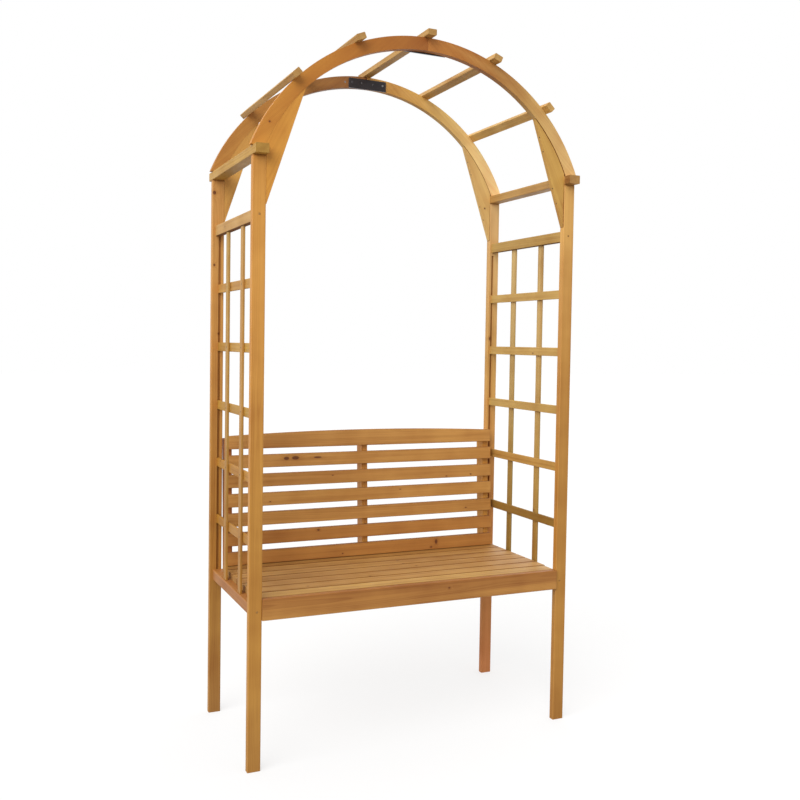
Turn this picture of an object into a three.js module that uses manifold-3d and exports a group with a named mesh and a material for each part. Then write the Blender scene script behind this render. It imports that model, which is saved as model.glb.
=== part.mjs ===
// Arbour seat: a slatted timber bench for two, standing under a low round arch.
// Millimetres. X runs to the right as seen from the front, Y runs from front to back and Z up.
// The origin is on the ground, midway between the posts.
// Two flat hoops, one in front and one behind, each have two posts and two arch boards.
// Battens over the arch, lattice panels at the sides and the bench below tie the hoops together.

import * as THREE from 'three'
import { mergeVertices } from 'three/addons/utils/BufferGeometryUtils.js'
import Module from 'manifold-3d'

const wasm = await Module()
wasm.setup()

// Every board
const arris = 2 // radius of the long edges
const endEaseShare = 0.6 // chamfer at a board's ends, of its arris
const joint = 0.3 // hairline wherever two pieces meet

// Hoops
const widthOverPosts = 1018
const depthOverPosts = 482
const postWidth = 37
const postHeight = 1671
const hoopThickness = 20
const archBoardWidth = 37
const archRise = 350.5 // from the feet of the arch boards to the crown
const archFootProud = 6 // arch boards stand out over the posts at their feet
const archSteps = 16 // pairs of flats along each edge of an arch board

// Battens over the arch
const springBattenHeight = 25.5
const battenWidth = 27
const battenThickness = 17
const battenOverhang = 28 // in front of and behind the hoops
const battensEachSide = 2 // on either side of the crown batten
const battenStepShare = 0.3285 // angle from one to the next, of the arch's half angle

// Gussets in the corners under the arch
const gussetDrop = 156 // below the feet of the arch boards
const gussetReach = 108 // in from the posts
const gussetThickness = 15
const gussetSetback = 3 // behind the outer face of its hoop
const gussetToe = 4 // blunt width at the lower end

// Steel plates over the butt joints at the crown
const plateLength = 132
const plateHeight = 33.5
const plateThickness = 3
const plateCorner = 2.5
const plateCornerSteps = 3
const plateLip = 4.7 // below the inner edge of the arch boards
const screwRadius = 3.6
const screwHeadHeight = 1.6
const screwCrownShare = 0.7 // top radius of a screw head, of its radius
const screwSides = 16
const screwPlaceShares = [-0.815, -0.29, 0.29, 0.815] // along half the plate
const screwHeightShare = 0.58 // up the plate

// Side panels
const railFaceInset = 9.5 // outer face of the thick rails, in from the posts' outer face
const topRailDrop = 141 // top edge of the top rail, below the tops of the posts
const topRailHeight = 32
const topRailThickness = 20
const latticeInset = 20.5 // plane where rails and uprights meet, in from the posts' outer face
const lathThickness = 7
const latticeRailHeight = 27
const latticeRailTopShares = [0.831, 0.664, 0.495, 0.328, 0.162] // from the seat rail to the top rail
const uprightWidth = 26
const uprightSpacing = 167 // centre to centre
const grooveDepth = 5 // in the posts, for the ends of the lattice rails

// Bench
const seatHeight = 474.5
const seatBoardThickness = 18.5
const seatBoardCount = 7
const seatBoardGap = 3.5
const seatBoardOverrun = 6 // past the posts' inner faces
const apronThickness = 20
const apronHeight = 59
const apronProud = 5.3 // in front of the front posts
const seatRailWidth = 37
const seatRailHeight = 31
const bearerWidth = 37
const rearRailLedge = 12 // in front of the stiles, under the last seat board

// Backrest, which leans back
const backRecline = THREE.MathUtils.degToRad(2.95)
const slatCount = 7
const slatHeight = 41
const slatThickness = 20
const slatPitch = 60.3
const crownSlatRise = 11.6 // of the top slat's upper edge, from its ends to its middle
const crownSlatSteps = 16 // flats along that edge
const backSideGap = 5 // between the posts and the ends of the slats
const backSetback = 60 // front of the slats at seat height, in front of the rear posts
const stileWidth = 20
const stileDepth = 45
const stileTopDrop = 8 // below the ends of the top slat

// Places worked out from the sizes
const postOuter = widthOverPosts / 2
const postInner = postOuter - postWidth
const hoopOuter = depthOverPosts / 2
const hoopInner = hoopOuter - hoopThickness
const battenEnd = hoopOuter + battenOverhang

const archFootLevel = postHeight + joint + springBattenHeight + joint
const archFootOuter = postOuter + archFootProud
const archRadius = (archFootOuter ** 2 + archRise ** 2) / (2 * archRise)
const archCentre = archFootLevel + archRise - archRadius
const archInnerRadius = archRadius - archBoardWidth
const archHalfAngle = Math.atan2(archFootOuter, archFootLevel - archCentre)

const topRailTop = postHeight - topRailDrop
const topRailBottom = topRailTop - topRailHeight
const railFace = postOuter - railFaceInset
const latticePlane = postOuter - latticeInset
const seatUnderside = seatHeight - seatBoardThickness
const seatRailTop = seatUnderside - joint
const seatRailInner = railFace - seatRailWidth
const apronFront = -hoopOuter - apronProud
const apronBack = apronFront + apronThickness

// The backrest's own frame: y from the front of the slats, z up their slope from seat height.
// levelInBack says how far up the slope, at y, the backrest meets a level above the seat.
const levelInBack = (y, level) => (level + y * Math.sin(backRecline)) / Math.cos(backRecline)
const backEnd = postInner - backSideGap
const slatFront = hoopInner - backSetback
const stileNear = slatThickness + joint
const stileFar = stileNear + stileDepth
const lowestSlat = levelInBack(slatThickness, joint)
const crownSlat = lowestSlat + (slatCount - 1) * slatPitch
const stileFoot = (y) => levelInBack(y, seatRailTop + joint - seatHeight)
const behindSlats = (y) => slatFront + y * Math.cos(backRecline) + stileFoot(y) * Math.sin(backRecline)

const sides = [
  { name: 'left', sign: -1 },
  { name: 'right', sign: 1 }
]
const hoops = [
  { name: 'front', sign: -1 },
  { name: 'rear', sign: 1 }
]

// Finishes

function stainedTimber(color) {
  return new THREE.MeshStandardMaterial({ color, roughness: 0.62, metalness: 0 })
}

function blackSteel() {
  return new THREE.MeshStandardMaterial({ color: 0x33302f, roughness: 0.5, metalness: 0.6 })
}

const arbour = new THREE.Group()

const backrest = new THREE.Group()
backrest.position.set(0, slatFront, seatHeight)
backrest.rotation.x = -backRecline
arbour.add(backrest)

function addPiece(name, geometry, material, place, group = arbour) {
  const mesh = new THREE.Mesh(geometry, material)
  mesh.name = name
  mesh.position.set(...place)
  group.add(mesh)
  return mesh
}

// Joining and cutting

function toSolid(geometry) {
  const bare = geometry.clone()
  bare.deleteAttribute('normal')
  bare.deleteAttribute('uv')
  const merged = mergeVertices(bare)
  const vertProperties = new Float32Array(merged.attributes.position.array)
  const triVerts = new Uint32Array(merged.index.array)
  return new wasm.Manifold(new wasm.Mesh({ numProp: 3, vertProperties, triVerts }))
}

function toGeometry(solid) {
  const { vertProperties, triVerts } = solid.getMesh()
  const geometry = new THREE.BufferGeometry()
  geometry.setAttribute('position', new THREE.BufferAttribute(new Float32Array(vertProperties), 3))
  geometry.setIndex(new THREE.BufferAttribute(new Uint32Array(triVerts), 1))
  geometry.computeVertexNormals()
  return geometry
}

// Boards

function roundedRectangle(width, height, radius) {
  const x = width / 2
  const y = height / 2
  const quarter = Math.PI / 2
  const shape = new THREE.Shape()
  shape.absarc(x - radius, y - radius, radius, 0, quarter)
  shape.absarc(radius - x, y - radius, radius, quarter, 2 * quarter)
  shape.absarc(radius - x, radius - y, radius, 2 * quarter, 3 * quarter)
  shape.absarc(x - radius, radius - y, radius, 3 * quarter, 4 * quarter)
  return shape
}

// A board along local Z, centred on the origin, with rounded long edges and chamfered ends
function boardAlongZ(width, height, length) {
  const radius = Math.min(arris, width / 4, height / 4)
  const ease = radius * endEaseShare
  const geometry = new THREE.ExtrudeGeometry(roundedRectangle(width, height, radius), {
    depth: length - 2 * ease,
    curveSegments: 1,
    bevelThickness: ease,
    bevelSize: ease,
    bevelOffset: -ease,
    bevelSegments: 1
  })
  return geometry.translate(0, 0, ease - length / 2)
}

const axisTurns = {
  x: new THREE.Matrix4().set(0, 0, 1, 0, 1, 0, 0, 0, 0, 1, 0, 0, 0, 0, 0, 1),
  y: new THREE.Matrix4().set(0, 1, 0, 0, 0, 0, 1, 0, 1, 0, 0, 0, 0, 0, 0, 1),
  z: new THREE.Matrix4()
}

// A board that lies along an axis and measures sizeX, sizeY and sizeZ
function boardGeometry(along, sizeX, sizeY, sizeZ) {
  const sections = {
    x: [sizeY, sizeZ, sizeX],
    y: [sizeZ, sizeX, sizeY],
    z: [sizeX, sizeY, sizeZ]
  }
  return boardAlongZ(...sections[along]).applyMatrix4(axisTurns[along])
}

// The stretch from near to far on one side of the middle
function stretch(sign, near, far) {
  return sign > 0 ? [near, far] : [-far, -near]
}

function middle([low, high]) {
  return (low + high) / 2
}

function size([low, high]) {
  return high - low
}

function addBoard(name, along, xs, ys, zs, material, group) {
  const geometry = boardGeometry(along, size(xs), size(ys), size(zs))
  return addPiece(name, geometry, material, [middle(xs), middle(ys), middle(zs)], group)
}

// An outline drawn in X and Z, made into a flat piece of the given thickness along Y
function uprightSlab(outline, thickness, edge, steps) {
  const geometry = new THREE.ExtrudeGeometry(outline, {
    depth: thickness - 2 * edge,
    curveSegments: steps,
    bevelThickness: edge,
    bevelSize: edge,
    bevelOffset: -edge,
    bevelSegments: 2
  })
  geometry.translate(0, 0, edge - thickness / 2)
  return geometry.rotateX(Math.PI / 2)
}

// Posts, each with a stopped groove for the lattice rails

function addPost(hoop, side) {
  const xs = stretch(side.sign, postInner, postOuter)
  const ys = stretch(hoop.sign, hoopInner, hoopOuter)
  const zs = [0, postHeight]
  const grooveXs = stretch(side.sign, latticePlane - lathThickness - joint, latticePlane + joint)
  const grooveZs = [seatUnderside, topRailBottom]
  const groove = new THREE.BoxGeometry(size(grooveXs), 2 * grooveDepth, size(grooveZs))
  groove.translate(
    middle(grooveXs) - middle(xs),
    hoop.sign * hoopInner - middle(ys),
    middle(grooveZs) - middle(zs)
  )
  const board = toSolid(boardGeometry('z', size(xs), size(ys), size(zs)))
  const grooved = toGeometry(board.subtract(toSolid(groove)))
  addPiece(`${hoop.name}_${side.name}_post`, grooved, stainedTimber(0xc18a50), [
    middle(xs),
    middle(ys),
    middle(zs)
  ])
}

// Arch boards: quarter rings, cut level at the foot and upright at the crown

function archOutline() {
  const footHeight = archFootLevel - archCentre
  const footAngle = (radius) => Math.asin(footHeight / radius)
  const crownAngle = (radius) => Math.acos(joint / 2 / radius)
  const outline = new THREE.Shape()
  outline.absarc(0, 0, archRadius, footAngle(archRadius), crownAngle(archRadius))
  outline.absarc(0, 0, archInnerRadius, crownAngle(archInnerRadius), footAngle(archInnerRadius), true)
  return outline
}

function addArchBoard(hoop, side) {
  const geometry = uprightSlab(archOutline(), hoopThickness, arris, archSteps)
  const middleY = hoop.sign * (hoopInner + hoopOuter) / 2
  const name = `${hoop.name}_${side.name}_arch_board`
  const board = addPiece(name, geometry, stainedTimber(0xb87a3f), [0, middleY, archCentre])
  board.rotation.z = side.sign > 0 ? 0 : Math.PI
}

// Gussets: an upright edge against the post, a curved edge under the arch, and a straight inner edge

function gussetOutline() {
  const outer = postInner - joint
  const curve = archInnerRadius - joint
  const low = archFootLevel - gussetDrop - archCentre
  const tip = postInner - gussetReach
  const outline = new THREE.Shape()
  outline.moveTo(outer - gussetToe, low)
  outline.lineTo(outer, low)
  outline.absarc(0, 0, curve, Math.acos(outer / curve), Math.acos(tip / curve))
  return outline
}

function addGusset(hoop, side) {
  const geometry = uprightSlab(gussetOutline(), gussetThickness, arris / 2, archSteps / 4)
  const middleY = hoop.sign * (hoopOuter - gussetSetback - gussetThickness / 2)
  const name = `${hoop.name}_${side.name}_gusset`
  const gusset = addPiece(name, geometry, stainedTimber(0xc0894e), [0, middleY, archCentre])
  gusset.rotation.z = side.sign > 0 ? 0 : Math.PI
}

// Crown plates, with their screw heads on the side that faces the sitter

function addCrownPlate(hoop) {
  const centreY = hoop.sign * (hoopInner - joint - plateThickness / 2)
  const centreZ = archCentre + archInnerRadius - plateLip + plateHeight / 2
  const outline = roundedRectangle(plateLength, plateHeight, plateCorner)
  let plate = toSolid(uprightSlab(outline, plateThickness, plateThickness / 8, plateCornerSteps))
  for (const share of screwPlaceShares) {
    const sunk = plateThickness / 2
    const crownRadius = screwRadius * screwCrownShare
    const head = new THREE.CylinderGeometry(crownRadius, screwRadius, screwHeadHeight + sunk, screwSides)
    if (hoop.sign > 0) head.rotateX(Math.PI)
    const headY = -hoop.sign * (plateThickness / 2 + (screwHeadHeight - sunk) / 2)
    head.translate(share * plateLength / 2, headY, (screwHeightShare - 1 / 2) * plateHeight)
    plate = plate.add(toSolid(head))
  }
  addPiece(`${hoop.name}_crown_plate`, toGeometry(plate), blackSteel(), [0, centreY, centreZ])
}

// Battens, from the front overhang to the rear one

function addSpringBatten(side) {
  const xs = stretch(side.sign, postInner, postOuter)
  const zs = [postHeight + joint, postHeight + joint + springBattenHeight]
  addBoard(`${side.name}_spring_batten`, 'y', xs, [-battenEnd, battenEnd], zs, stainedTimber(0xc2905c))
}

function addArchBatten(step) {
  const angle = step * battenStepShare * archHalfAngle
  const radius = archRadius + joint + battenThickness / 2
  const geometry = boardGeometry('y', battenWidth, 2 * battenEnd, battenThickness)
  const place = [radius * Math.sin(angle), 0, archCentre + radius * Math.cos(angle)]
  const number = step + battensEachSide + 1
  const batten = addPiece(`arch_batten_${number}`, geometry, stainedTimber(0xc99a66), place)
  batten.rotation.y = angle
}

// Side panels: a thick top rail, thin lattice rails let into the posts, and uprights outside them

function addSidePanel(side) {
  const betweenPosts = [joint - hoopInner, hoopInner - joint]
  const topRailXs = stretch(side.sign, railFace - topRailThickness, railFace)
  const topRailZs = [topRailBottom, topRailTop]
  addBoard(`${side.name}_top_rail`, 'y', topRailXs, betweenPosts, topRailZs, stainedTimber(0xbb8247))

  const railEnd = hoopInner + grooveDepth - joint
  const railXs = stretch(side.sign, latticePlane - lathThickness, latticePlane)
  latticeRailTopShares.forEach((share, index) => {
    const top = seatUnderside + share * (topRailTop - seatUnderside)
    const zs = [top - latticeRailHeight, top]
    const name = `${side.name}_lattice_rail_${index + 1}`
    addBoard(name, 'y', railXs, [-railEnd, railEnd], zs, stainedTimber(0xbf935a))
  })

  const uprightXs = stretch(side.sign, latticePlane + joint, latticePlane + joint + lathThickness)
  const uprightZs = [seatUnderside, topRailBottom - joint]
  for (const hoop of hoops) {
    const centre = hoop.sign * uprightSpacing / 2
    const ys = [centre - uprightWidth / 2, centre + uprightWidth / 2]
    const name = `${side.name}_${hoop.name}_lattice_upright`
    addBoard(name, 'z', uprightXs, ys, uprightZs, stainedTimber(0xbd8a50))
  }
}

// Bench frame: apron, two seat rails, rear rail and middle bearer

function addBenchFrame() {
  const timber = () => stainedTimber(0xb5753d)
  const railZs = [seatRailTop - seatRailHeight, seatRailTop]
  const apronEnd = postInner - joint
  const apronZs = [seatHeight - apronHeight, seatHeight]
  addBoard('seat_apron', 'x', [-apronEnd, apronEnd], [apronFront, apronBack], apronZs, timber())
  for (const side of sides) {
    const xs = stretch(side.sign, seatRailInner, railFace)
    addBoard(`${side.name}_seat_rail`, 'y', xs, [joint - hoopInner, hoopInner - joint], railZs, timber())
  }
  const rearRailEnd = seatRailInner - joint
  const rearRailFront = behindSlats(stileNear) - rearRailLedge
  const rearRailYs = [rearRailFront, behindSlats(stileFar)]
  addBoard('rear_seat_rail', 'x', [-rearRailEnd, rearRailEnd], rearRailYs, railZs, timber())
  const bearerXs = [-bearerWidth / 2, bearerWidth / 2]
  addBoard('seat_bearer', 'y', bearerXs, [apronBack + joint, rearRailFront - joint], railZs, timber())
}

// Seat boards fill the depth from the apron to the stiles with even gaps

function addSeatBoards() {
  const front = apronBack + joint
  const depth = behindSlats(stileNear) - joint - front
  const width = (depth - (seatBoardCount - 1) * seatBoardGap) / seatBoardCount
  for (let index = 0; index < seatBoardCount; index++) {
    const end = index === 0 ? postInner - joint : postInner + seatBoardOverrun
    const low = front + index * (width + seatBoardGap)
    const zs = [seatUnderside, seatHeight]
    const name = `seat_board_${index + 1}`
    addBoard(name, 'x', [-end, end], [low, low + width], zs, stainedTimber(0xb98a52))
  }
}

// Backrest: three stiles cut level at the foot, plain slats, and a top slat with a bowed upper edge

function stileOutline(top) {
  const outline = new THREE.Shape()
  outline.moveTo(stileNear, stileFoot(stileNear))
  outline.lineTo(stileFar, stileFoot(stileFar))
  outline.lineTo(stileFar, top)
  outline.lineTo(stileNear, top)
  return outline
}

function addStiles() {
  const top = crownSlat + slatHeight - stileTopDrop
  const centres = {
    left: stileWidth / 2 - backEnd,
    middle: 0,
    right: backEnd - stileWidth / 2
  }
  for (const [name, x] of Object.entries(centres)) {
    const geometry = uprightSlab(stileOutline(top), stileWidth, arris, 1)
    geometry.rotateZ(Math.PI / 2)
    addPiece(`${name}_back_stile`, geometry, stainedTimber(0xa8693a), [x, 0, 0], backrest)
  }
}

function crownSlatOutline() {
  const outline = new THREE.Shape()
  outline.moveTo(-backEnd, 0)
  outline.lineTo(backEnd, 0)
  outline.lineTo(backEnd, slatHeight)
  outline.quadraticCurveTo(0, slatHeight + 2 * crownSlatRise, -backEnd, slatHeight)
  return outline
}

function addSlats() {
  const bowed = uprightSlab(crownSlatOutline(), slatThickness, arris, crownSlatSteps)
  const place = [0, slatThickness / 2, crownSlat]
  addPiece('back_slat_1', bowed, stainedTimber(0xbb8146), place, backrest)
  for (let index = 1; index < slatCount; index++) {
    const low = crownSlat - index * slatPitch
    const name = `back_slat_${index + 1}`
    const zs = [low, low + slatHeight]
    addBoard(name, 'x', [-backEnd, backEnd], [0, slatThickness], zs, stainedTimber(0xba7d42), backrest)
  }
}

for (const hoop of hoops) {
  for (const side of sides) {
    addPost(hoop, side)
    addArchBoard(hoop, side)
    addGusset(hoop, side)
  }
  addCrownPlate(hoop)
}
for (const side of sides) {
  addSpringBatten(side)
  addSidePanel(side)
}
for (let step = -battensEachSide; step <= battensEachSide; step++) {
  addArchBatten(step)
}
addBenchFrame()
addSeatBoards()
addStiles()
addSlats()

export default arbour
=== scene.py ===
import math
import random

import bmesh
import bpy
from mathutils import Matrix, Vector


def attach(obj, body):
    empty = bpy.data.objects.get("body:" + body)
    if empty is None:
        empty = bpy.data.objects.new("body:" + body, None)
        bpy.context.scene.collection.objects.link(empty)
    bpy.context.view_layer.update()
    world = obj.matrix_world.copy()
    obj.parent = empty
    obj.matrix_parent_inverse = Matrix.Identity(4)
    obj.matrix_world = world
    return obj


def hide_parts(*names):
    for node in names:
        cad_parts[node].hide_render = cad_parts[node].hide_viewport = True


# Arbour seat in stained softwood. Every board is modelled afresh over its own solid, with rounded
# arrises and a grain that runs through the whole board, so that faces, edges and ends agree.
# Metres and degrees. X runs to the right, Y to the back and Z up.

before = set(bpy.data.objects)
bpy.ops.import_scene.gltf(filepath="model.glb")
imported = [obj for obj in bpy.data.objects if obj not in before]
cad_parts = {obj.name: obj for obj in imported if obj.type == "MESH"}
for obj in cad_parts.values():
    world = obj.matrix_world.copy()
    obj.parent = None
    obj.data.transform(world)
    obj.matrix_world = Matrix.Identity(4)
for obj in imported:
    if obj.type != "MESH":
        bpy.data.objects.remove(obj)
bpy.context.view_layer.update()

# Camera
camera_place = Vector((-1.192, -2.7415, 1.1754))
camera_turn = 24.56  # to the right of straight ahead
camera_dip = 2.30  # below level
camera_roll = 0.91
camera_lens = 43.09
sensor_width = 36.0
camera_shift = (-0.0090, -0.0228)

# Boards
arris_radius = 0.0020
end_radius = 0.0012
slab_radii = {"left": 0.0002, "right": 0.0005}  # of the arch boards and gussets
thin_board_share = 0.22  # largest arris radius, of a board's thickness
arris_zone = 0.0030  # nearer than this to two faces, a corner lies on an arris
arris_steps = 4
end_steps = 3
arc_steps = 72
bow_steps = 48
flat_edge_angle = math.radians(30)  # sharper edges than this are rounded
crease_angle = math.radians(40)  # sharper edges than this are shaded as creases
joint = 0.0003
seams = {"left": 0.00005, "right": 0.0003}  # round the gussets: the right ones have opened a little
left_gusset_step = 0.0005  # behind the front of its post, where the right ones keep the solid's step
groove_depth = 0.005
groove_stops = {"left": 0.0, "right": 0.010}  # below the top rail
gusset_toe = 0.001
shade_fade_run = 0.002  # over which painted shade fades out on a post
shade_power = 8  # holds the painted shade to faces that look straight sideways or down
mostly = 0.5  # a normal with more than this along an axis looks that way
# painted shade on the floor of each post's groove
groove_painted_shades = {"left": 0.30, "right": 0.40}
# painted shadow on the top of each post, under its spring batten
post_top_painted_shadow = 0.40
post_top_run = 0.009  # over which the painted shadow under a spring batten fades out on a post
# painted shade on the inner side of the right spring batten's front end
stub_painted_shade = 0.55
arch_grain = math.radians(42)  # slope of the grain
gusset_grain = math.radians(64)

# Grain
ring_spacing = 0.0036
pith_near = 0.022  # distance of a board's middle from the heart of its log
pith_far = 0.080
log_reach = 4.0  # how far along its log a board may lie, either way
knots_per_metre = 0.7
knot_spread = (0.46, 0.42)  # of small knots from a board's middle, shares of its length and width
small_knot = (0.0016, 0.0032)
knot_stretch = 1.35
most_knots = 3

# Timber's texture. Each pattern of noise has its scale along the grain and across it, and its detail
PATTERNS = {
    "drift": (1.1, 7.0, 1.0),
    "ripple": (7.0, 40.0, 2.0),
    "streak": (1.9, 85.0, 3.0),
    "broad": (1.1, 15.0, 2.0),
    "fibre": (26.0, 950.0, 2.0),
    "cloud": (9.0, 9.0, 2.0),
    "rub": (14.0, 60.0, 3.0),
    "plane": (5.0, 22.0, 1.0),
}
drift_reach = 0.030  # how far the heart wanders along the log
ripple_reach = 0.0032
knot_falloff = 0.16
knot_swell = 1.7  # of the rings round a knot, in its radii
knot_rim = (1.15, 0.75)  # radii from a knot's heart, between which its face darkens
knot_cover = 0.92
halo_rim = (3.0, 0.9)
halo_depth = 0.5  # how much deeper the stain is round a knot
least_radius = 0.0001
least_swell = 0.00002  # less means that there is no knot
RING_STOPS = [(0.0, 0.10), (0.45, 0.16), (0.80, 0.62), (0.93, 1.0), (1.0, 0.12)]
faintest_ring = 0.45
knot_ring_pace = 5200.0
ring_weight = 0.42
FIGURE = {"streak": 1.20, "broad": 1.00, "fibre": 0.25}
cloud_weight = 0.90
plain_depth = 0.24
end_cover = 0.40
rub_rim = (0.36, 0.66)
least_rub = 0.25
worn_rim = (0.30, 1.0)  # shares of arris, between which the stain wears off
# shares of a corner's sideways look, between which the painted shade comes in
held_rim = (0.04, 0.60)
painted_shade_heights = (1.40, 0.70)  # heights between which the painted shade deepens, downwards
damp_part = (0.40, 0.12)
ragged = 0.20  # how far those heights vary
ROUGHNESS = {"cloud": 0.22, "ring": 0.10, "end": 0.18, "rubbed": -0.10, "damp": 0.10, "held": 0.45}
plain_roughness = 0.40
RELIEF = {"plane": 0.45, "ring": 0.055, "fibre": 0.075, "face": -0.10}

# Steel
chip_rim = (0.50, 0.64)
chipped_edge = (0.35, 1.0)
# painted highlight along a plate's lowest edge: the shares between which it comes in, and its strength
lowest_highlight_rim = (0.10, 0.60)
lowest_highlight_cover = 0.85
tarnish_rim = (0.3, 0.7)

# Screws and brads. A dome's points are shares of its head's radius and of its height
screw_radius = 0.0031
screw_dome = 0.0003
screw_bore = 0.0034
screw_sunk = 0.0004
bore_depth = 0.0020
recess_reach = 0.0017  # of the cross in a screw's head
recess_width = 0.0008
recess_depth = 0.0009
recess_clearance = 0.001  # of its cutter, over the head
plate_thickness = 0.003
plate_corner = 0.0025
plate_arris = 0.0014
pan_radius = 0.0036
pan_dome = 0.0015
pan_rim = 0.0004
cross_dome = ((0.45, 0.88), (0.80, 0.48), (0.96, 0.10))
rim_drop = 0.04  # of a screw's radius
pan_shares = (-0.815, -0.29, 0.29, 0.815)  # of half the plate's length
pan_height_share = 0.58
spare_screw_x = -0.080
brad_radius = 0.0022
brad_proud = 0.00025
brad_sunk = 0.0004
brad_dome = ((0.6, 0.85), (0.92, 0.4))
gusset_brad_shares = (0.17, 0.30, 0.64, 0.78)  # down the straight edge
gusset_brad_inset = 0.003
round_steps = 20
post_rings = 12  # a post's shade changes from ring to ring of corners

# Lighting
ambient = 0.64
sun_strength = 2.4
sun_spread = 55.0
sun_from = Vector((-0.68, -0.50, 0.54))
fill_strength = 1.0
fill_spread = 100.0
fill_from = Vector((0.78, 0.60, 0.18))
fill_colour = (1.0, 0.93, 0.85)
floor_tone = 0.3
floor_glow = 0.7
floor_reach = 30.0


# Reading the frame

def span(node, turn=None):
    """Lowest and highest corner of a node, measured along the axes of a turned frame."""
    back = (turn or Matrix.Identity(3)).inverted()
    points = [back @ v.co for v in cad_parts[node].data.vertices]
    low = Vector([min(p[i] for p in points) for i in range(3)])
    high = Vector([max(p[i] for p in points) for i in range(3)])
    return low, high


def far_from(node, centre):
    """Least and greatest distance of a node's corners from a line along Y through centre."""
    corners = [v.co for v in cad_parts[node].data.vertices]
    reach = [math.hypot(c.x - centre.x, c.z - centre.z) for c in corners]
    return min(reach), max(reach)


def middle(node, turn=None):
    low, high = span(node, turn)
    return (low + high) / 2


def placed(along, across, through, origin):
    """The place at origin whose axes are these three directions."""
    place = Matrix([along, across, through]).transposed().to_4x4()
    place.translation = origin
    return place


HOOPS = {"front": -1, "rear": 1}
SIDES = {"left": -1, "right": 1}

arch_low, arch_high = span("front_right_arch_board")
arch_rise = arch_high.z - arch_low.z
arch_radius = (arch_high.x**2 + arch_rise**2) / (2 * arch_rise)
arch_centre = Vector((0, 0, arch_high.z - arch_radius))
lean_line = middle("back_slat_2") - middle("back_slat_7")
lean = math.atan2(lean_line.y, lean_line.z)
LEANING = Matrix.Rotation(-lean, 3, "X")


# Node trees

class Wiring:
    """Adds nodes to a tree, with values or other nodes' outputs on their inputs."""

    def __init__(self, tree):
        self.tree = tree

    def node(self, kind, inputs=None, **settings):
        made = self.tree.nodes.new(kind if kind.startswith("Node") else "ShaderNode" + kind)
        for name, value in settings.items():
            setattr(made, name, value)
        for name, value in (inputs or {}).items():
            self.feed(made.inputs[name], value)
        return made

    def feed(self, socket, value):
        if isinstance(value, bpy.types.NodeSocket):
            self.tree.links.new(value, socket)
        else:
            socket.default_value = value

    def math(self, operation, *values, clamp=False):
        inputs = dict(enumerate(values))
        return self.node("Math", inputs, operation=operation, use_clamp=clamp).outputs[0]

    def times(self, first, second):
        return self.math("MULTIPLY", first, second)

    def vector(self, operation, *values, output="Vector"):
        inputs = dict(enumerate(values))
        return self.node("VectorMath", inputs, operation=operation).outputs[output]

    def scaled(self, vector, scale):
        return self.vector("MULTIPLY", vector, scale)

    def parts(self, vector):
        return self.node("SeparateXYZ", {"Vector": vector}).outputs[:]

    def noise(self, vector, detail, scale=1.0, output=0):
        """Output 0 is a number and output 1 a colour."""
        inputs = {"Vector": vector, "Scale": scale, "Detail": detail}
        return self.node("TexNoise", inputs).outputs[output]

    def attribute(self, name):
        return self.node("Attribute", attribute_name=name).outputs["Vector"]

    def between(self, value, low, high, to_low=0.0, to_high=1.0, kind="SMOOTHSTEP"):
        inputs = {"Value": value, "From Min": low, "From Max": high, "To Min": to_low, "To Max": to_high}
        return self.node("MapRange", inputs, interpolation_type=kind).outputs["Result"]

    def mix(self, share, first, second, blend="MIX"):
        inputs = {0: share, 6: first, 7: second}
        return self.node("Mix", inputs, data_type="RGBA", blend_type=blend).outputs[2]

    def ramp(self, value, stops):
        made = self.node("ValToRGB", {"Fac": value})
        elements = made.color_ramp.elements
        while len(elements) < len(stops):
            elements.new(0.5)
        for element, (place, level) in zip(elements, stops):
            element.position = place
            element.color = (level, level, level, 1)
        return made.outputs["Color"]


def srgb(red, green, blue):
    """A colour given as it looks on screen, from 0 to 255, as Blender's linear values."""
    def linear(value):
        share = value / 255
        return share / 12.92 if share <= 0.04045 else ((share + 0.055) / 1.055) ** 2.4
    return (linear(red), linear(green), linear(blue), 1.0)


END_GRAIN = srgb(160, 116, 68)
RUBBED_WOOD = srgb(226, 176, 112)
# Painted shade, laid where shade falls: in gaps, in grooves, under things and beside joints
PAINTED_SHADE_COLOUR = (0.34, 0.19, 0.09, 1.0)
KNOT_DARK = srgb(78, 36, 14)
KNOT_LIGHT = srgb(124, 66, 28)
# painted shade, darker lower down
LOW_PAINTED_SHADE = (0.80, 0.79, 0.67, 1.0)
DAMP_WOOD = (0.90, 0.90, 0.98, 1.0)


# Timber: growth rings round the heart of the log, streaks and fibres along it, and knots across it

def knot_shape(wires, grain, number):
    """How far the rings swell round a knot, its dark face, and the radii from its heart."""
    knot = wires.attribute(f"knot_{number}")
    stretch = wires.parts(wires.attribute("stretch"))[number - 1]
    squeeze = wires.node("CombineXYZ", {"X": stretch, "Y": 1.0, "Z": 0.0}).outputs[0]
    apart = wires.scaled(wires.vector("SUBTRACT", grain, knot), squeeze)
    distance = wires.vector("LENGTH", apart, output="Value")
    radius = wires.parts(knot)[2]
    share = wires.math("DIVIDE", distance, wires.math("MAXIMUM", radius, least_radius))
    falloff = wires.math("EXPONENT", wires.times(wires.times(share, share), -knot_falloff))
    swell = wires.times(falloff, wires.times(radius, knot_swell))
    return swell, wires.between(share, *knot_rim), share


GROUP_SOCKETS = {
    "INPUT": {"Pale": "Color", "Deep": "Color", "Figure": "Float", "Rub": "Float", "Painted Shade": "Float"},
    "OUTPUT": {"Color": "Color", "Roughness": "Float", "Height": "Float"},
}


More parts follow.
